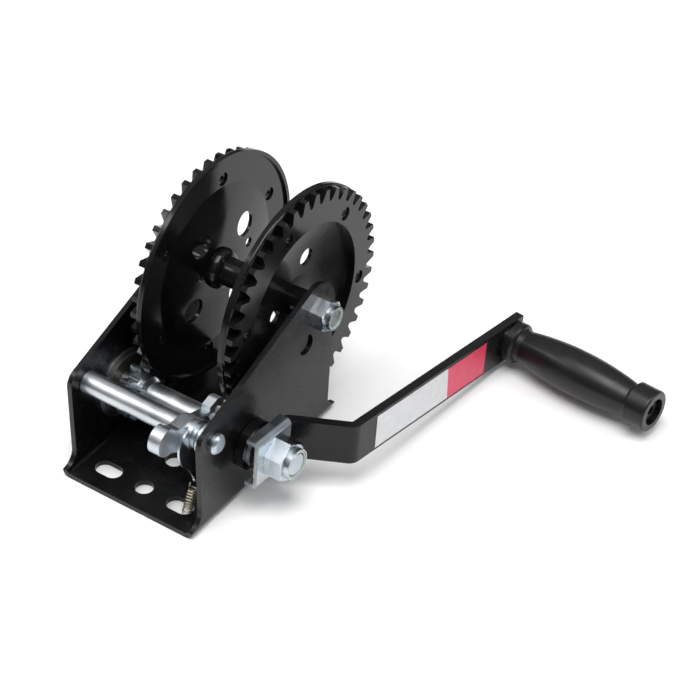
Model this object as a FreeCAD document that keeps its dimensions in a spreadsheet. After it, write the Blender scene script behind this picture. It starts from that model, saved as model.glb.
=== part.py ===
import FreeCAD, Part
import math
import os

import Sketcher
from FreeCAD import Placement, Rotation, Vector

# A hand-cranked boat trailer winch: a folded steel frame, a drum with a ring gear on each flange,
# a geared drive shaft with a ratchet and pawl, and a crank with a free-spinning grip.
# Millimetres. X runs along the shafts towards the crank, Y from front to back, Z up.
# The origin is on the underside of the base, at the middle front bolt hole.

SIZES = {
    # folded frame
    "frame_width": 101.6,
    "frame_gauge": 3.5,
    "frame_bend": 6.0,
    "base_front": -17.5,
    "base_rear": 133.8,
    "plate_front": -7.5,
    "plate_corner": 10.0,
    "plate_corner_z": 64.5,
    "plate_top": 18.7,
    "plate_heel": 125.8,
    "foot_height": 5.0,
    # shaft centres
    "pin_y": 7.0,
    "pin_z": 61.5,
    "axle_y": 112.8,
    "axle_z": 93.8,
    "drive_y": 41.3,
    "drive_z": 37.4,
    # holes in the frame
    "bolt_hole": 6.0,
    "slot_x": 28.0,
    "slot_travel": 3.5,
    "rear_hole_y": 30.5,
    "spare_hole": 7.0,
    "spare_hole_y": 101.2,
    "spare_hole_z": 74.1,
    "axle_hole": 6.3,
    "bearing_hole": 11.1,
    # gears
    "ring_teeth": 42,
    "pinion_teeth": 10,
    "ring_tip": 77.0,
    "ring_root": 69.1,
    "ring_opening": 55.0,
    "ring_width": 4.6,
    "pinion_tip": 20.3,
    "pinion_root": 13.1,
    "pinion_width": 8.2,
    "left_pinion_x": -38.4,
    "right_pinion_x": 37.1,
    # drum
    "drum_middle": 3.5,
    "flange_radius": 78.0,
    "flange_gauge": 2.5,
    "floor_offset": 29.7,
    "rim_offset": 33.3,
    "lip_offset": 29.0,
    "tube_radius": 9.5,
    "tube_length": 93.8,
    "weld_radius": 13.7,
    "weld_length": 6.5,
    "rivet_circle": 61.7,
    "rivet_hole": 4.5,
    "rivet_radius": 4.45,
    "large_hole_circle": 32.5,
    "large_hole": 8.5,
    # axle bolt and its nut
    "axle_radius": 6.0,
    "axle_bore": 6.08,
    "axle_end_x": 64.0,
    "axle_head": 7.45,
    "axle_flats": 19.0,
    "axle_nut_height": 10.6,
    "axle_nut_collar": 8.0,
    "axle_nut_collar_end": 64.9,
    "axle_insert": 7.2,
    # front pin, pawl and spring
    "pin_radius": 4.7,
    "pin_bore": 4.8,
    "pin_head": 6.6,
    "pin_tube_radius": 7.15,
    "pin_tube_x": -46.9,
    "pin_tube_length": 70.85,
    "pawl_x": 24.0,
    "pawl_width": 8.5,
    "pawl_hub": 8.0,
    "pawl_flare": 9.8,
    "pawl_hub_end_x": 35.4,
    "plate_gauge": 1.5,
    "plate_boss": 9.6,
    "spring_radius": 2.75,
    "spring_wire": 0.55,
    "spring_pitch": 1.95,
    # drive shaft and what is on it
    "shaft_radius": 8.0,
    "shaft_bore": 8.05,
    "shaft_start_x": -57.0,
    "shaft_end_x": 86.0,
    "sleeve_radius": 8.75,
    "left_sleeve_x": -24.4,
    "left_sleeve_length": 48.45,
    "right_sleeve_x": 30.35,
    "right_sleeve_length": 6.7,
    "ratchet_x": 24.1,
    "ratchet_width": 6.2,
    "ratchet_tip": 19.0,
    "ratchet_root": 14.6,
    "bearing_radius": 11.0,
    "washer_radius": 23.6,
    "washer_x": -47.25,
    "washer_gauge": 0.9,
    "clip_x": -54.0,
    "clip_gauge": 1.4,
    "clip_radius": 11.5,
    "hub_x": 51.3,
    "hub_length": 6.3,
    "hub_radius": 16.3,
    "spacer_length": 3.2,
    "spacer_radius": 13.0,
    # crank
    "arm_droop": 5.4,
    "arm_splay": 5.5,
    "arm_width": 28.0,
    "arm_gauge": 6.0,
    "arm_inner_x": 63.9,
    "arm_outer_x": 100.7,
    "arm_first_bend": 19.3,
    "arm_second_bend": 39.7,
    "arm_bend_radius": 5.0,
    "arm_length": 211.5,
    "grip_at": 200.0,
    "grip_length": 113.0,
    "grip_bolt": 5.0,
    "grip_bore": 5.08,
    "bracket_gauge": 3.0,
    "bracket_half": 17.25,
    "bracket_length": 33.6,
    "bracket_back_x": 61.0,
    "bracket_front_x": 70.0,
    "nut_flats": 24.0,
    "nut_height": 12.9,
    "nut_collar": 10.2,
    "nut_collar_end": 86.5,
    "nut_insert": 9.3,
    "label_width": 24.0,
    "label_start": 58.0,
    "label_length": 113.0,
    "label_gauge": 0.3,
}

# half thickness of a tooth at three radii, from the tip down
RING_TOOTH = [(77.0, 1.80), (73.5, 2.65), (70.9, 3.45)]
PINION_TOOTH = [(20.3, 1.00), (17.5, 1.90), (15.0, 2.15)]
RING_PHASE = 3.2            # degrees from +Y to a ring gear tooth, turning towards +Z
RATCHET_TEETH = 12
RATCHET_FACE = 82.0         # degrees from +Y to the steep face that the pawl would meet
RIVETS = 6
PAWL_FLARE_ANGLE = 30.0     # how steeply the pawl's side opens out towards the spring plate
PAWL_NECK_Y = 15.0          # behind this the pawl is thinner, to pass beside the flange
CLEAR = 0.05                # play between a washer, head or nut and the face it sits on
BEYOND = 400.0              # longer than the winch in every direction
BELOW = -2.0                # a height under the base

doc = FreeCAD.newDocument("trailer_winch")
sheet = doc.addObject("Spreadsheet::Sheet", "Dims")
for row, (alias, value) in enumerate(SIZES.items(), start=1):
    sheet.set("A%d" % row, alias)
    sheet.set("B%d" % row, str(value))
    sheet.setAlias("B%d" % row, alias)
doc.recompute()

OUTER_FACE = "({frame_width} / 2)"
nodes = []


def dim(alias):
    return float(sheet.get(alias))


def bind(thing, attribute, formula):
    """Tie a property to the sheet; a name in braces is one of its cells."""
    thing.setExpression(attribute, formula.replace("{", "Dims.").replace("}", ""))


def keep(thing, label):
    """Name a finished sub-part and list it for export."""
    thing.Label = label
    nodes.append(thing)
    return thing


def polar(radius, degrees):
    return radius * math.cos(math.radians(degrees)), radius * math.sin(math.radians(degrees))


# ---------------------------------------------------------------- sketches and bodies

def new_body(label):
    return doc.addObject("PartDesign::Body", label + "_body")


def new_sketch(body, plane):
    sketch = body.newObject("Sketcher::SketchObject", body.Name + "_sketch")
    support = [item for item in body.Origin.OriginFeatures if item.Role == plane][0]
    sketch.AttachmentSupport = (support, [""])
    sketch.MapMode = "FlatFace"
    return sketch


def nearer_end(curve, point):
    """1 if the curve starts at the point, 2 if it ends there."""
    target = Vector(point[0], point[1], 0)
    starts = curve.StartPoint.distanceToPoint(target)
    return 1 if starts < curve.EndPoint.distanceToPoint(target) else 2


def add_loop(sketch, points):
    """Draw a closed outline. A point is (x, y), or (x, y, mx, my) for an arc to (x, y)
    through (mx, my)."""
    first = len(sketch.Geometry)
    for previous, point in zip([points[-1]] + points, points):
        start, end = Vector(previous[0], previous[1], 0), Vector(point[0], point[1], 0)
        if len(point) == 4:
            middle = Vector(point[2], point[3], 0)
            clockwise = (middle - start).cross(end - middle).z < 0
            curve = Part.Arc(end, middle, start) if clockwise else Part.Arc(start, middle, end)
        else:
            curve = Part.LineSegment(start, end)
        sketch.addGeometry(curve, False)
    for index, point in enumerate(points):
        here, after = first + index, first + (index + 1) % len(points)
        sketch.addConstraint(Sketcher.Constraint(
            "Coincident", here, nearer_end(sketch.Geometry[here], point),
            after, nearer_end(sketch.Geometry[after], point)))


def add_circle(sketch, x, y, alias):
    index = sketch.addGeometry(Part.Circle(Vector(x, y, 0), Vector(0, 0, 1), dim(alias)), False)
    constraint = sketch.addConstraint(Sketcher.Constraint("Radius", index, dim(alias)))
    bind(sketch, "Constraints[%d]" % constraint, "{%s}" % alias)


def pad(body, sketch, formula, midplane=False):
    feature = body.newObject("PartDesign::Pad", body.Name + "_pad")
    feature.Profile = sketch
    feature.Midplane = midplane
    bind(feature, "Length", formula)
    doc.recompute()
    return feature


def cut_through(body, sketch):
    """Cut a sketch right through the body, and make sure that it removed metal."""
    before = body.Shape.Volume
    feature = body.newObject("PartDesign::Pocket", body.Name + "_pocket")
    feature.Profile = sketch
    feature.Midplane = True
    feature.Length = 2 * BEYOND
    doc.recompute()
    if not 0 < body.Shape.Volume < before:
        raise RuntimeError(body.Name + ": the pocket cut nothing")
    return feature


def revolve(body, sketch):
    feature = body.newObject("PartDesign::Revolution", body.Name + "_turned")
    feature.Profile = sketch
    feature.ReferenceAxis = (sketch, ["H_Axis"])
    feature.Angle = 360
    doc.recompute()
    return feature


def put_on(thing, axis):
    """Move a sub-part drawn about the X axis onto the pin, the axle or the drive shaft."""
    bind(thing, "Placement.Base.y", "{%s_y}" % axis)
    bind(thing, "Placement.Base.z", "{%s_z}" % axis)


def turned(label, axis, outline):
    """A lathe-turned piece whose outline is (x, radius) points."""
    body = new_body(label)
    sketch = new_sketch(body, "XY_Plane")
    add_loop(sketch, outline)
    revolve(body, sketch)
    put_on(body, axis)
    return body


def strip_outline(path, gauge, radius):
    """Both sides of a bent strip that follows a centre line, with a round bend at each corner."""
    left, right = [], []
    corners = [Vector(x, y, 0) for x, y in path]
    for index, corner in enumerate(corners):
        before = corners[max(index - 1, 0)]
        after = corners[min(index + 1, len(corners) - 1)]
        inward = (corner - before).normalize() if index else (after - before).normalize()
        outward = (after - corner).normalize() if index < len(corners) - 1 else inward
        side = Vector(-inward.y, inward.x, 0)
        if index in (0, len(corners) - 1):
            left.append([corner + side * (gauge / 2)])
            right.append([corner - side * (gauge / 2)])
            continue
        turning = math.copysign(1.0, inward.cross(outward).z)
        reach = radius * math.tan(inward.getAngle(outward) / 2)
        centre = corner - inward * reach + side * (radius * turning)
        marks = [corner - inward * reach, corner, corner + outward * reach]
        rays = [(mark - centre).normalize() for mark in marks]
        left.append([centre + ray * (radius - turning * gauge / 2) for ray in rays])
        right.append([centre + ray * (radius + turning * gauge / 2) for ray in rays])
    outline = []
    for group in left + [list(reversed(item)) for item in reversed(right)]:
        outline.append((group[0].x, group[0].y))
        if len(group) == 3:
            outline.append((group[2].x, group[2].y, group[1].x, group[1].y))
    return outline


# ---------------------------------------------------------------- plain solids along X

def rod(name, axis, start, length, radius):
    """A cylinder along X; every size is a formula."""
    cylinder = doc.addObject("Part::Cylinder", name)
    cylinder.Placement = Placement(Vector(0, 0, 0), Rotation(Vector(0, 1, 0), 90))
    bind(cylinder, "Radius", radius)
    bind(cylinder, "Height", length)
    bind(cylinder, "Placement.Base.x", start)
    put_on(cylinder, axis)
    return cylinder


def hexagon(name, axis, start, length, flats, outwards=1):
    """A nut or bolt head along X whose corners are bevelled on the side that faces outwards."""
    prism = doc.addObject("Part::Prism", name)
    prism.Polygon = 6
    prism.Placement = Placement(Vector(0, 0, 0), Rotation(Vector(0, 1, 0), 90))
    bind(prism, "Circumradius", "%s / sqrt(3)" % flats)
    bind(prism, "Height", length)
    bind(prism, "Placement.Base.x", start)
    put_on(prism, axis)
    cone = doc.addObject("Part::Cone", name + "_bevel")
    cone.Placement = Placement(Vector(0, 0, 0), Rotation(Vector(0, 1, 0), 90))
    narrow, wide = "%s / 2" % flats, "%s / 2 + sqrt(3) * (%s)" % (flats, length)
    bind(cone, "Radius1", wide if outwards > 0 else narrow)
    bind(cone, "Radius2", narrow if outwards > 0 else wide)
    bind(cone, "Height", length)
    bind(cone, "Placement.Base.x", start)
    put_on(cone, axis)
    return combine("Common", name + "_bevelled", prism, cone)


def combine(kind, name, base, tool):
    result = doc.addObject("Part::" + kind, name)
    result.Base = base
    result.Tool = tool
    doc.recompute()
    return result


def ring(label, axis, start, length, bore, radius):
    """A sleeve, spacer or washer."""
    solid = rod(label + "_outside", axis, start, length, radius)
    hole = rod(label + "_bore", axis, start + " - 1", length + " + 2", bore)
    return keep(combine("Cut", label + "_cut", solid, hole), label)


def lock_nut(label, axis, start, height, flats, bore, collar, collar_end, insert):
    """A nut whose round collar holds a separate nylon ring."""
    body = hexagon(label + "_hexagon", axis, start, height, flats)
    crown = rod(label + "_collar", axis, start, "%s - %s" % (collar_end, start), collar)
    blank = combine("Fuse", label + "_blank", body, crown)
    drilled = combine("Cut", label + "_drilled", blank,
                      rod(label + "_bore", axis, start + " - 1", collar_end, bore))
    seat_start = "%s - 2.6" % collar_end
    seat = rod(label + "_seat", axis, seat_start, "10", insert)
    keep(combine("Cut", label + "_finished", drilled, seat), label)
    ring(label + "_insert", axis, seat_start, "2.4", bore, "%s - 0.05" % insert)


# ---------------------------------------------------------------- frame

def channel_outline(height):
    """Cross-section of the folded channel, seen along Y."""
    half, gauge, bend = dim("frame_width") / 2, dim("frame_gauge"), dim("frame_bend")
    middle = gauge / 2
    path = [(-half + middle, height), (-half + middle, middle),
            (half - middle, middle), (half - middle, height)]
    return strip_outline(path, gauge, bend - middle)


def plate_outline():
    """Side view of the frame: a flared foot at each end, a rounded front corner, a round top."""
    front, rear, face = dim("base_front"), dim("base_rear"), dim("plate_front")
    heel, foot = dim("plate_heel"), dim("foot_height")
    front_flare, rear_flare = face - front, rear - heel
    corner = Vector(face + dim("plate_corner"), dim("plate_corner_z"), 0)
    top = Vector(dim("axle_y"), dim("axle_z"), 0)
    corner_radius, top_radius = dim("plate_corner"), dim("plate_top")
    span = top - corner
    rise = math.atan2(span.y, span.x) + math.asin((top_radius - corner_radius) / span.Length)
    slope_normal = rise + math.pi / 2
    foot_of_rear = Vector(heel, foot + rear_flare, 0) - top
    rear_normal = (math.atan2(foot_of_rear.y, foot_of_rear.x)
                   + math.acos(top_radius / foot_of_rear.Length))
    near, far = math.sqrt(0.5), 1 - math.sqrt(0.5)

    def rim(centre, radius, angle):
        return centre.x + radius * math.cos(angle), centre.y + radius * math.sin(angle)

    return [
        (front, BELOW),
        (front, foot),
        (face, foot + front_flare, front + front_flare * near, foot + front_flare * far),
        (face, corner.y),
        rim(corner, corner_radius, slope_normal)
        + rim(corner, corner_radius, (slope_normal + math.pi) / 2),
        rim(top, top_radius, slope_normal),
        rim(top, top_radius, rear_normal)
        + rim(top, top_radius, (slope_normal + rear_normal) / 2),
        (heel, foot + rear_flare),
        (rear, foot, rear - rear_flare * near, foot + rear_flare * far),
        (rear, BELOW),
    ]


def build_frame():
    body = new_body("frame")
    channel = new_sketch(body, "XZ_Plane")
    add_loop(channel, channel_outline(dim("axle_z") + 2 * dim("plate_top")))
    pad(body, channel, "3 * ({base_rear} - {base_front})", midplane=True)

    surround = new_sketch(body, "YZ_Plane")
    add_loop(surround, [(-BEYOND, -BEYOND), (BEYOND, -BEYOND), (BEYOND, BEYOND), (-BEYOND, BEYOND)])
    add_loop(surround, plate_outline())
    cut_through(body, surround)

    shaft_holes = new_sketch(body, "YZ_Plane")
    add_circle(shaft_holes, dim("axle_y"), dim("axle_z"), "axle_hole")
    add_circle(shaft_holes, dim("pin_y"), dim("pin_z"), "pin_bore")
    add_circle(shaft_holes, dim("drive_y"), dim("drive_z"), "bearing_hole")
    add_circle(shaft_holes, dim("spare_hole_y"), dim("spare_hole_z"), "spare_hole")
    cut_through(body, shaft_holes)

    bolt_holes = new_sketch(body, "XY_Plane")
    radius = dim("bolt_hole")
    add_circle(bolt_holes, 0, 0, "bolt_hole")
    add_circle(bolt_holes, 0, dim("rear_hole_y"), "bolt_hole")
    for side in (-1, 1):
        left = side * dim("slot_x") - dim("slot_travel")
        right = side * dim("slot_x") + dim("slot_travel")
        add_loop(bolt_holes, [(left, -radius, left - radius, 0), (right, -radius),
                              (right, radius, right + radius, 0), (left, radius)])
    cut_through(body, bolt_holes)
    keep(body, "frame")


# ---------------------------------------------------------------- axle and front pin

def build_axle():
    head = hexagon("axle_head_hexagon", "axle",
                   "-%s - {axle_head}" % OUTER_FACE, "{axle_head} - 0.05", "{axle_flats}", outwards=-1)
    shank = rod("axle_shank", "axle", "-%s - 1" % OUTER_FACE,
                "{axle_end_x} + %s + 1" % OUTER_FACE, "{axle_radius}")
    keep(combine("Fuse", "axle_bolt_fused", head, shank), "axle_bolt")
    lock_nut("axle_nut", "axle", "%s + 0.05" % OUTER_FACE, "{axle_nut_height}", "{axle_flats}",
             "{axle_bore}", "{axle_nut_collar}", "{axle_nut_collar_end}", "{axle_insert}")


def build_pin():
    """A riveted cross pin with a domed head at each end, its long tube and its stepped spacer."""
    face, shank, head = dim("frame_width") / 2 + CLEAR, dim("pin_radius"), dim("pin_head")
    left_crown, right_crown, flat = -57.0, 55.2, 4.2
    pin = turned("pawl_pin", "pin", [
        (left_crown, 0),
        (left_crown, flat),
        (left_crown + 2.6, head, left_crown + 0.7, head - 1.4),
        (-face, head),
        (-face, shank),
        (face, shank),
        (face, head),
        (right_crown - 2.2, head),
        (right_crown, flat, right_crown - 0.6, head - 1.4),
        (right_crown, 0),
    ])
    keep(pin, "pawl_pin")
    ring("pin_tube", "pin", "{pin_tube_x}", "{pin_tube_length}", "{pin_bore}", "{pin_tube_radius}")
    bore, start = dim("pin_bore"), dim("pawl_hub_end_x") + 2 * dim("plate_gauge") + CLEAR
    end = dim("frame_width") / 2 - dim("frame_gauge") - CLEAR
    spacer = turned("pin_spacer", "pin", [
        (start, bore), (start, 8.4), (41.0, 8.4), (41.0, 6.8),
        (43.2, 6.8), (43.2, 10.2), (end, 10.2), (end, bore),
    ])
    keep(spacer, "pin_spacer")


# ---------------------------------------------------------------- bearings

def build_bearings():
    """Flanged bushes in the side plates, the left one on a wide steel washer."""
    bore, sleeve = dim("shaft_bore") + 0.03, dim("bearing_radius")
    inner = dim("frame_width") / 2 - dim("frame_gauge") - CLEAR
    outer = dim("frame_width") / 2 + 0.2
    washer_face = dim("washer_x") + dim("washer_gauge") + CLEAR
    left = turned("left_bearing", "drive", [
        (-outer, bore), (-outer, sleeve), (washer_face, sleeve), (washer_face, 20.0),
        (-44.6, 20.0), (-44.6, bore),
    ])
    keep(left, "left_bearing")
    right = turned("right_bearing", "drive", [
        (45.8, bore), (45.8, 14.0), (inner, 14.0), (inner, sleeve), (outer, sleeve), (outer, bore),
    ])
    keep(right, "right_bearing")
    ring("bearing_washer", "drive", "{washer_x}", "{washer_gauge}", "{bearing_hole}",
         "{washer_radius}")


# ---------------------------------------------------------------- toothed wheels

def tooth_edges(teeth, tip, root, phase, stations):
    """The closed edge of a gear in the YZ plane. A station is (radius, half the tooth there),
    from the tip down; below the last one each gap has a round bottom."""
    pitch = 360.0 / teeth
    halves = [(radius, math.degrees(half / radius)) for radius, half in stations]
    low_radius, low_half = halves[-1]
    edges = []
    for index in range(teeth):
        centre = phase + index * pitch
        rise = [(radius, -half) for radius, half in reversed(halves)]
        crown = [(tip, -halves[0][1]), (tip, 0), (tip, halves[0][1])]
        valley = [(low_radius, low_half), (root, pitch / 2), (low_radius, pitch - low_half)]
        for stretch in (rise, crown, halves, valley):
            points = [Vector(0, *polar(radius, centre + angle)) for radius, angle in stretch]
            edges.append(Part.Arc(*points).toShape())
    return edges


def wheel(edges, opening, start, width):
    """A toothed disc with a round opening, from its edge."""
    rim = Part.Wire(edges)
    hole = Part.Wire(Part.Circle(Vector(0, 0, 0), Vector(1, 0, 0), opening).toShape())
    disc = Part.Face(rim).cut(Part.Face(hole))
    disc.translate(Vector(start, 0, 0))
    return disc.extrude(Vector(width, 0, 0))


def shaft_cylinder(start, end, radius):
    return Part.makeCylinder(radius, end - start, Vector(start, 0, 0), Vector(1, 0, 0))


def add_shape(label, shape, axis):
    """Keep a shape that was worked out about the X axis, moved onto its shaft."""
    feature = doc.addObject("Part::Feature", label + "_shape")
    feature.Shape = shape
    put_on(feature, axis)
    return keep(feature, label)


def rivet_angles(phase):
    return [phase + index * 360.0 / RIVETS for index in range(RIVETS)]


def side_x(side, offset):
    """X of a plane of the drum at a distance from its middle, on side -1 or 1."""
    return dim("drum_middle") + side * offset


def build_ring_gear(label, side, rivet_phase):
    near, far = side_x(side, dim("rim_offset")), side_x(side, dim("rim_offset") + dim("ring_width"))
    edges = tooth_edges(int(dim("ring_teeth")), dim("ring_tip"), dim("ring_root"), RING_PHASE,
                        RING_TOOTH)
    gear = wheel(edges, dim("ring_opening"), min(near, far), dim("ring_width"))
    for angle in rivet_angles(rivet_phase):
        y, z = polar(dim("rivet_circle"), angle)
        hole = shaft_cylinder(min(near, far) - 1, max(near, far) + 1, dim("rivet_hole"))
        hole.translate(Vector(0, y, z))
        gear = gear.cut(hole)
    add_shape(label, gear, "axle")


def build_rivets(label, side, rivet_phase):
    """Rivets sunk a little below both faces, with a dimple in each end."""
    sunk = 1.3
    inner_x = side_x(side, dim("rim_offset") - dim("flange_gauge") + sunk)
    outer_x = side_x(side, dim("rim_offset") + dim("ring_width") - sunk)
    rivet = shaft_cylinder(min(inner_x, outer_x), max(inner_x, outer_x), dim("rivet_radius"))
    for end_x, outwards in ((inner_x, -side), (outer_x, side)):
        rivet = rivet.cut(Part.makeSphere(2.6, Vector(end_x + outwards * 1.4, 0, 0)))
    rivets = []
    for angle in rivet_angles(rivet_phase):
        copy = rivet.copy()
        copy.translate(Vector(0, *polar(dim("rivet_circle"), angle)))
        rivets.append(copy)
    add_shape(label, Part.makeCompound(rivets), "axle")


def pinion_phase():
    """Turn the pinion so that one of its gaps faces a ring gear tooth on the line of centres."""
    ring_pitch = 360.0 / dim("ring_teeth")
    towards_pinion = math.degrees(math.atan2(dim("drive_z") - dim("axle_z"),
                                             dim("drive_y") - dim("axle_y"))) % 360
    past = (towards_pinion - RING_PHASE) % ring_pitch
    tooth_lag = -past
    ratio = dim("ring_teeth") / dim("pinion_teeth")
    return towards_pinion - 180 - ratio * tooth_lag + 180.0 / dim("pinion_teeth")


def build_pinion(label, start, hubs):
    """A ten-tooth pinion with round hubs, each (start, end, start radius, end radius)."""
    edges = tooth_edges(int(dim("pinion_teeth")), dim("pinion_tip"), dim("pinion_root"),
                        pinion_phase(), PINION_TOOTH)
    gear = wheel(edges, dim("shaft_bore"), start, dim("pinion_width"))
    for hub_start, hub_end, radius, end_radius in hubs:
        if radius == end_radius:
            hub = shaft_cylinder(hub_start, hub_end, radius)
        else:
            hub = Part.makeCone(radius, end_radius, hub_end - hub_start,
                                Vector(hub_start, 0, 0), Vector(1, 0, 0))
        gear = gear.fuse(hub)
    bore = shaft_cylinder(-BEYOND, BEYOND, dim("shaft_bore"))
    add_shape(label, gear.cut(bore).removeSplitter(), "drive")


def build_ratchet():
    """Saw teeth that let the shaft wind one way; each rises slowly and drops at a steep face."""
    body = new_body("ratchet_wheel")
    sketch = new_sketch(body, "YZ_Plane")
    pitch = 360.0 / RATCHET_TEETH
    points = []
    for index in range(RATCHET_TEETH):
        face = RATCHET_FACE + index * pitch
        points.append(polar(dim("ratchet_tip"), face - 4))
        points.append(polar(dim("ratchet_tip"), face - 0.5))
        points.append(polar(dim("ratchet_root"), face))
    add_loop(sketch, points)
    add_circle(sketch, 0, 0, "shaft_bore")
    pad(body, sketch, "{ratchet_width}")
    bind(body, "Placement.Base.x", "{ratchet_x}")
    put_on(body, "drive")
    keep(body, "ratchet_wheel")


# ---------------------------------------------------------------- drum

def build_flange(label, side, rivet_phase, rope_holes):
    """A dished steel flange with a folded rim, turned in one piece and then pierced."""
    gauge = dim("flange_gauge")
    floor, rim, lip = dim("floor_offset"), dim("rim_offset"), dim("lip_offset")
    bore, edge = dim("tube_radius") + CLEAR, dim("flange_radius")
    profile = [
        (floor, bore), (floor, 17.0), (rim, 56.0, floor + 1.2, 37.0), (rim, edge - 1.5),
        (rim - 1.5, edge, rim - 0.45, edge - 0.45), (lip, edge), (lip, edge - gauge),
        (rim - gauge, edge - gauge), (rim - gauge, 56.5),
        (floor - gauge, 17.3, floor + 1.2 - gauge, 37.4), (floor - gauge, bore),
    ]
    outline = []
    for point in profile:
        moved = [side_x(side, point[0]), point[1]]
        if len(point) == 4:
            moved += [side_x(side, point[2]), point[3]]
        outline.append(tuple(moved))
    body = turned(label, "axle", outline)
    holes = new_sketch(body, "YZ_Plane")
    for angle in rivet_angles(rivet_phase):
        add_circle(holes, *polar(dim("rivet_circle"), angle), "rivet_hole")
    cut_through(body, holes)
    anchors = new_sketch(body, "YZ_Plane")
    for radius, angle, hole_radius in rope_holes:
        centre = Vector(*polar(radius, angle), 0)
        anchors.addGeometry(Part.Circle(centre, Vector(0, 0, 1), hole_radius), False)
    cut_through(body, anchors)
    keep(body, label)


def build_drum():
    large, quarter = dim("large_hole"), 90
    left_holes = [(dim("large_hole_circle"), 32.6 + turn * quarter, large) for turn in range(4)]
    left_holes += [(22.4, 169.0, 5.0), (30.9, 2.3, 3.5)]
    right_holes = [(29.2, 66.0, 6.0), (20.6, 178.0, 5.0)]
    sides = (("left", -1, 21.2, left_holes), ("right", 1, 45.8, right_holes))
    for name, side, rivet_phase, rope_holes in sides:
        build_flange(name + "_flange", side, rivet_phase, rope_holes)
        build_ring_gear(name + "_ring_gear", side, rivet_phase)
        build_rivets(name + "_rivets", side, rivet_phase)
    ring("drum_tube", "axle", "-{tube_length} / 2", "{tube_length}", "{axle_bore}", "{tube_radius}")
    bore, crest = dim("tube_radius") + CLEAR, dim("weld_radius")
    reach = dim("floor_offset") - dim("flange_gauge") - CLEAR
    for name, side, _, _ in sides:
        foot, toe = side_x(side, reach), side_x(side, reach - dim("weld_length"))
        middle = side_x(side, reach - 0.55 * dim("weld_length"))
        keep(turned(name + "_weld_bead", "axle", [
            (foot, bore), (foot, crest), (toe, bore, middle, crest - 0.6)]),
            name + "_weld_bead")


# ---------------------------------------------------------------- drive shaft

def build_drive():
    radius, start, end = dim("shaft_radius"), dim("shaft_start_x"), dim("shaft_end_x")
    groove = dim("clip_x")
    shaft = turned("drive_shaft", "drive", [
        (start, 0), (start, radius - 1), (start + 1, radius),
        (groove - CLEAR, radius), (groove - CLEAR, radius - 0.8),
        (groove + dim("clip_gauge") + CLEAR, radius - 0.8), (groove + dim("clip_gauge") + CLEAR, radius),
        (end - 1, radius), (end, radius - 1), (end, 0),
    ])
    keep(shaft, "drive_shaft")
    ring("shaft_clip", "drive", "{clip_x}", "{clip_gauge}", "{shaft_radius} - 0.75",
         "{clip_radius}")
    left, right, width = dim("left_pinion_x"), dim("right_pinion_x"), dim("pinion_width")
    build_pinion("left_pinion", left, [
        (-44.3, left, 11.0, 11.0),
        (left + width, -27.0, 12.0, 12.0),
        (-27.0, -24.5, 12.0, 9.3),
    ])
    build_pinion("right_pinion", right, [(right + width, right + width + 0.2, 11.0, 11.0)])
    ring("left_sleeve", "drive", "{left_sleeve_x}", "{left_sleeve_length}", "{shaft_bore}",
         "{sleeve_radius}")
    ring("right_sleeve", "drive", "{right_sleeve_x}", "{right_sleeve_length}", "{shaft_bore}",
         "{sleeve_radius}")
    build_ratchet()
    ring("crank_hub", "drive", "{hub_x}", "{hub_length}", "{shaft_bore}", "{hub_radius}")
    ring("crank_spacer", "drive", "{hub_x} + {hub_length} + 0.05", "{spacer_length}",
         "{shaft_bore}", "{spacer_radius}")


# ---------------------------------------------------------------- pawl

def build_pawl():
    """A rocking lever with a nose over the ratchet and a thumb paddle in front of the frame."""
    bore = dim("pin_bore") + 0.03
    body = new_body("pawl")
    sketch = new_sketch(body, "YZ_Plane")
    add_loop(sketch, [
        (29.5, 3.3),
        (36.0, -0.5, 33.6, 2.3),
        (35.9, -4.3),
        (32.5, -4.3),
        (29.5, -1.5),
        (26.0, -4.2),
        (15.0, -5.2),
        (7.0, -8.4, 11.0, -6.2),
        (-6.5, -10.9, 0.0, -11.0),
        (-19.5, -3.5),
        (-17.5, 14.6, -30.2, 5.8),
        (-9.0, 8.3, -13.4, 10.2),
        (4.0, 7.7, -2.0, 8.2),
        (10.8, 2.4, 7.8, 5.0),
        (21.8, -1.3),
        (22.7, 1.6),
    ])
    pad(body, sketch, "{pawl_width}")
    hub_sketch = new_sketch(body, "YZ_Plane")
    add_circle(hub_sketch, 0, 0, "pawl_hub")
    pad(body, hub_sketch, "{pawl_hub_end_x} - {pawl_x} - 0.05")
    flare_sketch = new_sketch(body, "YZ_Plane")
    add_circle(flare_sketch, -4.0, -3.6, "pawl_flare")
    bind(flare_sketch, "AttachmentOffset.Base.z", "{pawl_width}")
    flare = pad(body, flare_sketch, "{pawl_hub_end_x} - {pawl_x} - {pawl_width} - 0.05")
    flare.TaperAngle = PAWL_FLARE_ANGLE
    doc.recompute()
    bore_sketch = new_sketch(body, "YZ_Plane")
    bore_sketch.addGeometry(Part.Circle(Vector(0, 0, 0), Vector(0, 0, 1), bore), False)
    cut_through(body, bore_sketch)
    beside_flange = new_sketch(body, "XZ_Plane")
    nose_width = dim("ratchet_width") + 0.1
    add_loop(beside_flange, [(nose_width, -BEYOND), (BEYOND, -BEYOND), (BEYOND, BEYOND),
                             (nose_width, BEYOND)])
    beside_flange.AttachmentOffset = Placement(Vector(0, 0, -PAWL_NECK_Y), Rotation())
    clear = body.newObject("PartDesign::Pocket", "pawl_nose_side")
    clear.Profile = beside_flange
    clear.Length = BEYOND
    doc.recompute()
    bind(body, "Placement.Base.x", "{pawl_x}")
    put_on(body, "pin")
    keep(body, "pawl")


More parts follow.
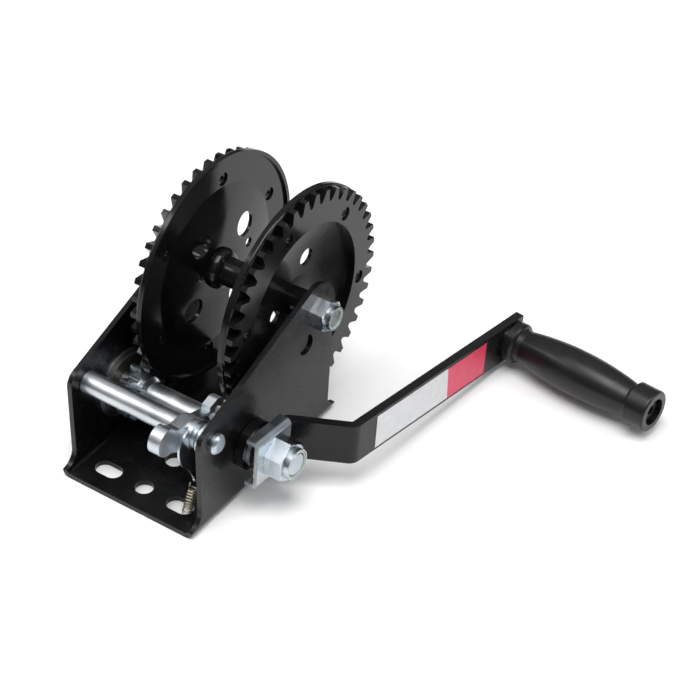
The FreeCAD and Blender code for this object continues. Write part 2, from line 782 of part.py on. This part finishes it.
def build_spring_plate():
    """A flat drop-shaped plate with a round boss, its tail hanging down to the spring."""
    body = new_body("spring_plate")
    drop = new_sketch(body, "YZ_Plane")
    add_loop(drop, [
        (11.6, 6.1, 14.2, 0.3),
        (-8.0, 6.8, 2.0, 8.0),
        (-16.6, -5.0, -14.2, 2.6),
        (-9.8, -21.4, -15.1, -13.6),
        (-2.9, -35.0, -5.6, -28.0),
        (2.3, -35.0, -0.3, -38.6),
        (4.0, -26.0),
        (13.0, -6.0, 9.6, -15.5),
    ])
    pad(body, drop, "{plate_gauge}")
    boss = new_sketch(body, "YZ_Plane")
    add_circle(boss, 0, 0, "plate_boss")
    pad(body, boss, "2 * {plate_gauge}")
    holes = new_sketch(body, "YZ_Plane")
    holes.addGeometry(Part.Circle(Vector(0, 0, 0), Vector(0, 0, 1), dim("pin_bore") + 0.03), False)
    holes.addGeometry(Part.Circle(Vector(-0.3, -35.2, 0), Vector(0, 0, 1), 1.2), False)
    cut_through(body, holes)
    bind(body, "Placement.Base.x", "{pawl_hub_end_x}")
    put_on(body, "pin")
    keep(body, "spring_plate")


def build_spring():
    """An open-wound spring between the spring plate's tail and the edge of the base slot."""
    radius, wire, turns, leg = dim("spring_radius"), dim("spring_wire"), 8, 2.6
    pitch = dim("spring_pitch")
    helix = Part.makeHelix(pitch, turns * pitch, radius)
    section = Part.Wire(Part.Circle(Vector(radius, 0, 0), Vector(0, 1, 0), wire).toShape())
    coil = Part.Wire(helix).makePipeShell([section], True, True)
    spring = coil
    for bend, end in ((0, -leg), (turns * pitch, turns * pitch + leg)):
        corner = Vector(radius, 0, bend)
        straight = Part.makeCylinder(wire, leg, Vector(radius, 0, min(bend, end)))
        spring = spring.fuse(Part.makeSphere(wire * 1.02, corner)).fuse(straight)
    feature = doc.addObject("Part::Feature", "pawl_spring_shape")
    feature.Shape = spring
    leaning = Rotation(Vector(1, 0, 0), -25.0)
    leg_inwards = Rotation(Vector(0, 0, 1), 180)
    feature.Placement = Placement(Vector(36.1, -3.4, 5.7), leaning.multiply(leg_inwards))
    keep(feature, "pawl_spring")


# ---------------------------------------------------------------- crank

def crank_turn():
    return Rotation(Vector(1, 0, 0), -dim("arm_droop"))


def put_on_crank(thing, x, along, splayed=False):
    """Stand a sub-part on the drooping crank, at a distance along its arm."""
    turn = crank_turn()
    if splayed:
        turn = turn * Rotation(Vector(0, 0, 1), -dim("arm_splay"))
    offset = crank_turn().multVec(Vector(x, along, 0))
    centre = Vector(0, dim("drive_y"), dim("drive_z"))
    thing.Placement = Placement(centre + offset, turn)


def arm_face(along):
    """X of the front of the arm's outer part, at a distance along it."""
    splay = math.radians(dim("arm_splay"))
    middle = dim("arm_outer_x") + (along - dim("arm_second_bend")) * math.tan(splay)
    return middle + dim("arm_gauge") / 2 / math.cos(splay)


def build_crank_arm():
    body = new_body("crank_arm")
    side = new_sketch(body, "XY_Plane")
    half, gauge = dim("arm_width") / 2, dim("arm_gauge")
    end_x = arm_face(dim("arm_length")) - gauge / 2
    path = [(dim("arm_inner_x"), -half), (dim("arm_inner_x"), dim("arm_first_bend")),
            (dim("arm_outer_x"), dim("arm_second_bend")), (end_x, dim("arm_length"))]
    add_loop(side, strip_outline(path, gauge, dim("arm_bend_radius")))
    pad(body, side, "{arm_width}", midplane=True)
    surround = new_sketch(body, "YZ_Plane")
    add_loop(surround, [(-BEYOND, -BEYOND), (BEYOND, -BEYOND), (BEYOND, BEYOND), (-BEYOND, BEYOND)])
    reach = 1.1 * dim("arm_length")
    add_loop(surround, [(reach, -half), (reach, half), (0, half), (0, -half, -half, 0)])
    cut_through(body, surround)
    shaft_hole = new_sketch(body, "YZ_Plane")
    add_circle(shaft_hole, 0, 0, "shaft_bore")
    cut_through(body, shaft_hole)
    grip_hole = new_sketch(body, "YZ_Plane")
    grip_hole.AttachmentOffset = Placement(Vector(dim("grip_at"), 0, arm_face(dim("grip_at"))),
                                           Rotation(Vector(0, 1, 0), -dim("arm_splay")))
    add_circle(grip_hole, 0, 0, "grip_bore")
    cut_through(body, grip_hole)
    put_on_crank(body, 0, 0)
    keep(body, "crank_arm")


def build_bracket():
    """A folded channel that caps the arm at the shaft, under the big nut."""
    body = new_body("crank_bracket")
    section = new_sketch(body, "XZ_Plane")
    gauge, back = dim("bracket_gauge"), dim("bracket_back_x")
    web, wall = dim("bracket_front_x") - gauge / 2, dim("bracket_half") - gauge / 2
    add_loop(section, strip_outline([(back, wall), (web, wall), (web, -wall), (back, -wall)],
                                    gauge, gauge / 2 + 0.5))
    pad(body, section, "{bracket_length}", midplane=True)
    hole = new_sketch(body, "YZ_Plane")
    hole.addGeometry(Part.Circle(Vector(1, 0, 0), Vector(0, 0, 1), dim("shaft_bore")), False)
    cut_through(body, hole)
    put_on_crank(body, 0, -1)
    keep(body, "crank_bracket")


def build_label():
    label = doc.addObject("Part::Box", "arm_label_box")
    bind(label, "Length", "{label_gauge}")
    bind(label, "Width", "{label_length}")
    bind(label, "Height", "{label_width}")
    splay = math.radians(dim("arm_splay"))
    put_on_crank(label, arm_face(dim("label_start")) + CLEAR / math.cos(splay), dim("label_start"),
                 splayed=True)
    lift = Placement(Vector(0, 0, -dim("label_width") / 2), Rotation())
    label.Placement = label.Placement * lift
    keep(label, "arm_label")


def on_grip(thing):
    put_on_crank(thing, arm_face(dim("grip_at")), dim("grip_at"), splayed=True)
    return thing


def build_grip():
    """A waisted plastic grip that spins on a bolt, whose end is peened over behind the arm; x is
    the distance from the arm."""
    bore, length = dim("grip_bore"), dim("grip_length")
    body = new_body("grip")
    sketch = new_sketch(body, "XY_Plane")
    seat, pocket = 104.0, 9.2
    add_loop(sketch, [
        (1.6, bore), (1.6, 13.2), (2.4, 14.0), (7.0, 14.0), (9.0, 11.6, 8.4, 12.9),
        (13.0, 11.3), (95.0, 11.5, 54.0, 15.4), (98.0, 14.3, 97.2, 12.2),
        (length - 1.5, 14.3), (length, 12.8, length - 0.45, 13.85),
        (length, pocket), (seat, pocket), (seat, bore),
    ])
    revolve(body, sketch)
    keep(on_grip(body), "grip")

    gauge, shank = dim("arm_gauge"), dim("grip_bolt")
    bolt = new_body("grip_bolt")
    bolt_sketch = new_sketch(bolt, "XY_Plane")
    add_loop(bolt_sketch, [
        (-gauge - 2.8, 0), (-gauge - 2.8, 4.0), (-gauge - CLEAR, 7.4, -gauge - 2.0, 6.6),
        (-gauge - CLEAR, shank), (seat + 0.3, shank),
        (seat + 0.3, 8.3), (seat + 5.2, 8.3), (seat + 6, 7.5), (seat + 6, 3.2),
        (seat + 2.6, 3.2), (seat + 2.6, 0),
    ])
    revolve(bolt, bolt_sketch)
    keep(on_grip(bolt), "grip_bolt")

    washer = new_body("grip_washer")
    washer_sketch = new_sketch(washer, "XY_Plane")
    add_loop(washer_sketch, [(0.05, bore), (0.05, 10.0), (1.25, 10.0), (1.25, bore)])
    revolve(washer, washer_sketch)
    keep(on_grip(washer), "grip_washer")


def put_crank_nut():
    lock_nut("crank_nut", "drive", "{bracket_front_x} + 0.05", "{nut_height}", "{nut_flats}",
             "{shaft_bore}", "{nut_collar}", "{nut_collar_end}", "{nut_insert}")


# ---------------------------------------------------------------- build, check and write

build_frame()
build_axle()
build_pin()
build_bearings()
build_drum()
build_drive()
build_pawl()
build_spring_plate()
build_spring()
build_crank_arm()
build_bracket()
build_label()
build_grip()
put_crank_nut()
doc.recompute()

for item in doc.Objects:
    if "Invalid" in item.State or "Error" in item.State:
        raise RuntimeError(item.Label + " did not recompute")
os.makedirs("parts", exist_ok=True)
for node in nodes:
    if node.Shape.isNull() or not node.Shape.isValid():
        raise RuntimeError(node.Label + " has no valid shape")
for node in nodes:
    node.Shape.exportStep(os.path.join("parts", node.Label + ".step"))
    box = node.Shape.BoundBox
    print("%-20s %2d solids %9.1f mm3  x %.1f..%.1f y %.1f..%.1f z %.1f..%.1f" % (
        node.Label, len(node.Shape.Solids), node.Shape.Volume,
        box.XMin, box.XMax, box.YMin, box.YMax, box.ZMin, box.ZMax))
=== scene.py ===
import math

import bpy
from mathutils import Matrix, Vector


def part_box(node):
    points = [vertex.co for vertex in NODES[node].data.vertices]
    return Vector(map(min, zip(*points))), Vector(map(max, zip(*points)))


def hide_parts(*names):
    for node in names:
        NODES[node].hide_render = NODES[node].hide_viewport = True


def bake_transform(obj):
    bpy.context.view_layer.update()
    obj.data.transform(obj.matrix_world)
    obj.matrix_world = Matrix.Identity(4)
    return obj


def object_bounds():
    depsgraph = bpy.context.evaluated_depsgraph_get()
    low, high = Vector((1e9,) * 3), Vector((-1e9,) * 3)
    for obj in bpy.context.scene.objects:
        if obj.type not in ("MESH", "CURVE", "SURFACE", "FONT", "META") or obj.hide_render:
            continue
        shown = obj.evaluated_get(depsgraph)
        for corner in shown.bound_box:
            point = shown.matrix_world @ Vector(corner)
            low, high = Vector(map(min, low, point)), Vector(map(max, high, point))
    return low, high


# Looks of a boat trailer winch, in metres, in the frame of its CAD model: X along the shafts
# towards the crank, Y from front to back, Z up.

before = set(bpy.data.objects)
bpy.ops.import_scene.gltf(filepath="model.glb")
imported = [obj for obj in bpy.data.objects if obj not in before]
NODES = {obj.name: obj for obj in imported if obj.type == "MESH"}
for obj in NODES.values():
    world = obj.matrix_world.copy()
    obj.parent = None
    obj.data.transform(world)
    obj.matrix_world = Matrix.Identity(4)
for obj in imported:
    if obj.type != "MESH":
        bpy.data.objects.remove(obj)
rest_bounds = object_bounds()

MM = 0.001


# ---------------------------------------------------------------- which finish each node has

GLOSS_PAINT = ["left_flange", "right_flange", "left_ring_gear", "right_ring_gear",
               "left_rivets", "right_rivets", "drum_tube", "left_weld_bead",
               "right_weld_bead", "crank_hub"]
# The grip bolt wears the black paint as painted shade, so that its head in the pocket at the
# grip's end comes out dark.
SATIN_PAINT = ["frame", "crank_arm", "grip_bolt"]
ZINC_SHEET = ["spring_plate", "crank_bracket", "bearing_washer", "grip_washer", "shaft_clip"]
ZINC_TURNED = ["pawl_pin", "pin_tube", "pin_spacer", "left_sleeve", "right_sleeve",
               "crank_spacer", "drive_shaft"]
ZINC_CAST = ["pawl", "ratchet_wheel"]
ZINC_FASTENERS = ["axle_bolt", "axle_nut", "crank_nut"]
ZINC_GEARS = ["left_pinion", "right_pinion"]
BRONZE = ["left_bearing", "right_bearing"]
NYLON = ["axle_nut_insert", "crank_nut_insert"]
SPRING, GRIP, LABEL = "pawl_spring", "grip", "arm_label"


# ---------------------------------------------------------------- numbers behind the looks

# width of a rounded edge, in millimetres, and how the rounding is made
EDGE = {"frame": 0.5, "crank_arm": 0.8, "pawl": 0.9, "crank_bracket": 0.4, "grip": 0.5,
        "left_ring_gear": 0.35, "right_ring_gear": 0.35, "left_pinion": 0.35,
        "right_pinion": 0.35}
SMALL_EDGE = 0.25
EDGE_STEPS = 2
SHARPEST_SMOOTH_FOLD = math.radians(40)

# colour stops along a noise: (position, (red, green, blue)), linear
PAINT_TONES = [(0.35, (0.0030, 0.0030, 0.0033)), (0.70, (0.0075, 0.0075, 0.0080))]
ZINC_TONES = [(0.30, (0.40, 0.45, 0.50)), (0.55, (0.55, 0.59, 0.62)), (0.75, (0.66, 0.67, 0.64))]
BRONZE_TONES = [(0.30, (0.060, 0.053, 0.045)), (0.70, (0.120, 0.105, 0.085))]
WIRE_TONES = [(0.35, (0.45, 0.38, 0.28)), (0.65, (0.62, 0.58, 0.50))]
PLASTIC_TONES = [(0.35, (0.0040, 0.0040, 0.0045)), (0.70, (0.0085, 0.0085, 0.0090))]
NYLON_TONES = [(0.35, (0.36, 0.42, 0.37)), (0.65, (0.48, 0.53, 0.46))]
WHITE_FILM_TONES = [(0.30, (0.60, 0.61, 0.63)), (0.70, (0.68, 0.685, 0.69))]
RED_FILM_TONES = [(0.30, (0.62, 0.030, 0.080)), (0.70, (0.70, 0.044, 0.105))]
FLOOR_TONES = [(0.0, (0.90, 0.90, 0.90)), (1.0, (0.92, 0.92, 0.92))]

# the part of a noise's range that most of its surface falls in
NOISE_LOW, NOISE_HIGH = 0.3, 0.7

# how far the noise behind a metal's scratches is squeezed along (x, y, z)
EVEN_GRAIN = (1.0, 1.0, 1.0)
GRAIN_ALONG_SHAFTS = (0.5, 4.0, 4.0)

# share of the label, from the crank's bend, that is white
WHITE_SHARE = 0.64


# ---------------------------------------------------------------- node helpers

class Shader:
    """A material being wired up, with the few nodes that every finish here uses."""

    def __init__(self, name):
        self.material = bpy.data.materials.new(name)
        self.material.use_nodes = True
        self.tree = self.material.node_tree
        self.main = self.tree.nodes["Principled BSDF"]
        self.place = self.tree.nodes.new("ShaderNodeTexCoord").outputs["Object"]

    def node(self, kind, **settings):
        made = self.tree.nodes.new(kind)
        for key, value in settings.items():
            setattr(made, key, value)
        return made

    def link(self, source, target):
        self.tree.links.new(source, target)

    def set(self, **values):
        """Set sockets of the main shader; an underscore in a name stands for a space."""
        for key, value in values.items():
            self.main.inputs[key.replace("_", " ")].default_value = value

    def squeezed(self, scale):
        """Object coordinates multiplied by (x, y, z)."""
        mapping = self.node("ShaderNodeMapping")
        mapping.inputs["Scale"].default_value = scale
        self.link(self.place, mapping.inputs["Vector"])
        return mapping.outputs["Vector"]

    def noise(self, scale, detail, coordinates=None, distortion=0.0):
        noise = self.node("ShaderNodeTexNoise")
        noise.inputs["Scale"].default_value = scale
        noise.inputs["Detail"].default_value = detail
        noise.inputs["Distortion"].default_value = distortion
        self.link(coordinates or self.place, noise.inputs["Vector"])
        return noise.outputs["Fac"]

    def between(self, noise, low, high):
        """A value that wanders from low to high with a noise."""
        spread = self.node("ShaderNodeMapRange")
        spread.inputs["From Min"].default_value = NOISE_LOW
        spread.inputs["From Max"].default_value = NOISE_HIGH
        spread.inputs["To Min"].default_value = low
        spread.inputs["To Max"].default_value = high
        self.link(noise, spread.inputs["Value"])
        return spread.outputs["Result"]

    def ramp(self, noise, tones):
        """Colours at their positions along a noise."""
        ramp = self.node("ShaderNodeValToRGB")
        elements = ramp.color_ramp.elements
        halfway = (elements[0].position + elements[1].position) / 2
        while len(elements) < len(tones):
            elements.new(halfway)
        for element, (position, colour) in zip(elements, tones):
            element.position = position
            element.color = (*colour, 1.0)
        self.link(noise, ramp.inputs["Fac"])
        return ramp.outputs["Color"]

    def bump(self, height, strength, distance):
        bump = self.node("ShaderNodeBump")
        bump.inputs["Strength"].default_value = strength
        bump.inputs["Distance"].default_value = distance
        self.link(height, bump.inputs["Height"])
        self.link(bump.outputs["Normal"], self.main.inputs["Normal"])

    def colour(self, source):
        self.link(source, self.main.inputs["Base Color"])

    def roughness(self, source):
        self.link(source, self.main.inputs["Roughness"])


# ---------------------------------------------------------------- finishes

def black_paint(name, low, high, peel):
    """Dipped black paint with a faint orange peel; low and high bound its roughness."""
    paint = Shader(name)
    paint.colour(paint.ramp(paint.noise(scale=14.0, detail=5.0), PAINT_TONES))
    paint.roughness(paint.between(paint.noise(scale=55.0, detail=6.0), low, high))
    paint.bump(paint.noise(scale=170.0, detail=2.0), strength=peel, distance=0.3 * MM)
    paint.set(Specular_IOR_Level=0.31)
    return paint.material


def bright_zinc(name, low, high, grain=EVEN_GRAIN):
    """Blue-bright zinc plate; low and high bound its roughness."""
    zinc = Shader(name)
    zinc.colour(zinc.ramp(zinc.noise(scale=30.0, detail=5.0, distortion=0.6), ZINC_TONES))
    zinc.roughness(zinc.between(zinc.noise(scale=70.0, detail=6.0), low, high))
    scratches = zinc.noise(scale=260.0, detail=4.0, coordinates=zinc.squeezed(grain))
    zinc.bump(scratches, strength=0.10, distance=0.2 * MM)
    zinc.set(Metallic=1.0)
    return zinc.material


def sintered_bronze():
    """Oil-soaked sintered bronze: brown, dull and finely pitted."""
    bronze = Shader("sintered_bronze")
    pores = bronze.noise(scale=900.0, detail=3.0)
    bronze.colour(bronze.ramp(bronze.noise(scale=45.0, detail=5.0), BRONZE_TONES))
    bronze.roughness(bronze.between(pores, low=0.38, high=0.60))
    bronze.bump(pores, strength=0.25, distance=0.2 * MM)
    bronze.set(Metallic=0.9)
    return bronze.material


def spring_steel():
    """Drawn spring wire with warm heat tint."""
    wire = Shader("spring_steel")
    wire.colour(wire.ramp(wire.noise(scale=160.0, detail=4.0), WIRE_TONES))
    wire.roughness(wire.between(wire.noise(scale=220.0, detail=3.0), low=0.22, high=0.38))
    wire.set(Metallic=1.0)
    return wire.material


def grip_plastic():
    """Black moulded plastic with a soft sheen and a fine spark-eroded skin."""
    plastic = Shader("grip_plastic")
    plastic.colour(plastic.ramp(plastic.noise(scale=40.0, detail=4.0), PLASTIC_TONES))
    plastic.roughness(plastic.between(plastic.noise(scale=90.0, detail=5.0), low=0.27, high=0.39))
    plastic.bump(plastic.noise(scale=1400.0, detail=2.0), strength=0.12, distance=0.15 * MM)
    plastic.set(Specular_IOR_Level=0.38)
    return plastic.material


def nylon():
    """Pale green nylon, slightly milky."""
    ring = Shader("nylon_ring")
    ring.colour(ring.ramp(ring.noise(scale=200.0, detail=3.0), NYLON_TONES))
    ring.roughness(ring.between(ring.noise(scale=300.0, detail=3.0), low=0.35, high=0.50))
    ring.set(Subsurface_Weight=0.2, Subsurface_Scale=1.0 * MM)
    return ring.material


def label_film():
    """A blank two-colour film: white towards the crank's bend, and red towards the grip."""
    film = Shader("label_film")
    along = film.node("ShaderNodeSeparateXYZ")
    film.link(film.place, along.inputs["Vector"])
    low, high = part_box("arm_label")
    past_split = film.node("ShaderNodeMath", operation="GREATER_THAN")
    past_split.inputs[1].default_value = low.y + WHITE_SHARE * (high.y - low.y)
    film.link(along.outputs["Y"], past_split.inputs[0])
    mottle = film.noise(scale=180.0, detail=4.0)
    mix = film.node("ShaderNodeMix", data_type="RGBA")
    film.link(past_split.outputs["Value"], mix.inputs["Factor"])
    film.link(film.ramp(mottle, WHITE_FILM_TONES), mix.inputs["A"])
    film.link(film.ramp(mottle, RED_FILM_TONES), mix.inputs["B"])
    film.colour(mix.outputs["Result"])
    film.roughness(film.between(film.noise(scale=90.0, detail=3.0), low=0.30, high=0.42))
    return film.material


# ---------------------------------------------------------------- applying them

def dress(names, material):
    for name in names:
        mesh = NODES[name].data
        if not mesh.materials:
            mesh.materials.append(material)
        for index in range(len(mesh.materials)):
            mesh.materials[index] = material


def round_edges(name, width):
    """Catch a highlight along each hard edge without moving the faces."""
    bevel = NODES[name].modifiers.new("rounded_edges", "BEVEL")
    bevel.width = width * MM
    bevel.segments = EDGE_STEPS
    bevel.limit_method = "ANGLE"
    bevel.angle_limit = SHARPEST_SMOOTH_FOLD
    bevel.harden_normals = True
    bevel.use_clamp_overlap = True


def dress_everything():
    dress(GLOSS_PAINT, black_paint("gloss_black_paint", low=0.09, high=0.16, peel=0.07))
    dress(SATIN_PAINT, black_paint("satin_black_paint", low=0.20, high=0.32, peel=0.10))
    dress(ZINC_SHEET, bright_zinc("zinc_sheet", low=0.24, high=0.38))
    dress(ZINC_TURNED, bright_zinc("zinc_turned", low=0.27, high=0.42, grain=GRAIN_ALONG_SHAFTS))
    dress(ZINC_CAST, bright_zinc("zinc_cast", low=0.28, high=0.44))
    dress(ZINC_FASTENERS, bright_zinc("zinc_fastener", low=0.18, high=0.34))
    dress(ZINC_GEARS, bright_zinc("zinc_gear", low=0.16, high=0.32))
    dress(BRONZE, sintered_bronze())
    dress(NYLON, nylon())
    dress([SPRING], spring_steel())
    dress([GRIP], grip_plastic())
    dress([LABEL], label_film())
    for name in NODES:
        if name not in (SPRING, LABEL):
            round_edges(name, EDGE.get(name, SMALL_EDGE))


dress_everything()


# ---------------------------------------------------------------- return spring of the pawl

def build_return_spring():
    """The coil stands on the base; this copies the pawl spring's mesh into a new object and hides
    the original.
    """
    spring = bpy.data.objects.new("return_spring", NODES["pawl_spring"].data.copy())
    bpy.context.scene.collection.objects.link(spring)
    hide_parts("pawl_spring")
    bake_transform(spring)


build_return_spring()


# ---------------------------------------------------------------- stage, lights and camera

TARGET = Vector((0.0750, 0.1137, 0.0734))
AZIMUTH, ELEVATION, ROLL = math.radians(33.4), math.radians(39.54), math.radians(1.43)
DISTANCE = 1.3587
FOCAL_LENGTH, SENSOR_WIDTH = 113.14, 36.0

FLOOR_REACH = 6.0
FLOOR_GAP = 0.2 * MM

# the world brightens between these heights of its sphere, from the horizon to overhead
HORIZON_HEIGHT, HORIZON_COLOUR = 0.12, (0.10, 0.105, 0.11, 1.0)
OVERHEAD_HEIGHT, OVERHEAD_COLOUR = 0.80, (1.0, 1.0, 1.0, 1.0)
WORLD_STRENGTH = 0.50


def looking_back(azimuth, elevation):
    """Unit vector from the object towards a viewer."""
    return Vector((math.sin(azimuth) * math.cos(elevation),
                   -math.cos(azimuth) * math.cos(elevation), math.sin(elevation)))


def add_camera():
    back = looking_back(AZIMUTH, ELEVATION)
    level = Vector((math.cos(AZIMUTH), math.sin(AZIMUTH), 0))
    upright = back.cross(level)
    right = math.cos(ROLL) * level + math.sin(ROLL) * upright
    up = back.cross(right)
    camera = bpy.data.objects.new("camera", bpy.data.cameras.new("camera"))
    camera.data.lens = FOCAL_LENGTH
    camera.data.sensor_width = SENSOR_WIDTH
    rotation = Matrix((right, up, back)).transposed().to_4x4()
    camera.matrix_world = Matrix.Translation(TARGET + DISTANCE * back) @ rotation
    bpy.context.scene.collection.objects.link(camera)
    bpy.context.scene.camera = camera


def add_softbox(name, azimuth, elevation, distance, width, height, watts):
    """A rectangular lamp that faces the object; its angles are in degrees."""
    lamp = bpy.data.lights.new(name, "AREA")
    lamp.shape = "RECTANGLE"
    lamp.size, lamp.size_y = width, height
    lamp.energy = watts
    light = bpy.data.objects.new(name, lamp)
    back = looking_back(math.radians(azimuth), math.radians(elevation))
    light.location = TARGET + back * distance
    light.rotation_euler = back.to_track_quat("Z", "Y").to_euler()
    bpy.context.scene.collection.objects.link(light)


def add_floor():
    mesh = bpy.data.meshes.new("floor")
    corners = [(-FLOOR_REACH, -FLOOR_REACH), (FLOOR_REACH, -FLOOR_REACH),
               (FLOOR_REACH, FLOOR_REACH), (-FLOOR_REACH, FLOOR_REACH)]
    level = rest_bounds[0].z - FLOOR_GAP
    mesh.from_pydata([(x, y, level) for x, y in corners], [], [(0, 1, 2, 3)])
    floor = bpy.data.objects.new("floor", mesh)
    bpy.context.scene.collection.objects.link(floor)
    white = Shader("white_floor")
    white.colour(white.ramp(white.noise(scale=2.0, detail=2.0), FLOOR_TONES))
    white.set(Roughness=0.9, Specular_IOR_Level=0.0)
    mesh.materials.append(white.material)


def light_world():
    """A studio that is darker towards the horizon, so that bright metal has something dark to
    mirror. It is shown without a film curve, so whites stay white."""
    world = bpy.data.worlds.new("studio")
    world.use_nodes = True
    tree = world.node_tree
    direction = tree.nodes.new("ShaderNodeTexCoord").outputs["Generated"]
    split = tree.nodes.new("ShaderNodeSeparateXYZ")
    tree.links.new(direction, split.inputs["Vector"])
    ramp = tree.nodes.new("ShaderNodeValToRGB")
    tree.links.new(split.outputs["Z"], ramp.inputs["Fac"])
    low, high = ramp.color_ramp.elements
    low.position, low.color = HORIZON_HEIGHT, HORIZON_COLOUR
    high.position, high.color = OVERHEAD_HEIGHT, OVERHEAD_COLOUR
    background = tree.nodes["Background"]
    tree.links.new(ramp.outputs["Color"], background.inputs["Color"])
    background.inputs["Strength"].default_value = WORLD_STRENGTH
    bpy.context.scene.world = world
    bpy.context.scene.view_settings.view_transform = "Standard"


add_camera()
add_floor()
light_world()
add_softbox("top_box", azimuth=20, elevation=78, distance=1.3, width=0.9, height=0.9, watts=17)
add_softbox("left_box", azimuth=-62, elevation=34, distance=1.5, width=0.5, height=1.0, watts=9)
add_softbox("right_box", azimuth=112, elevation=36, distance=1.6, width=0.45, height=1.0, watts=8)
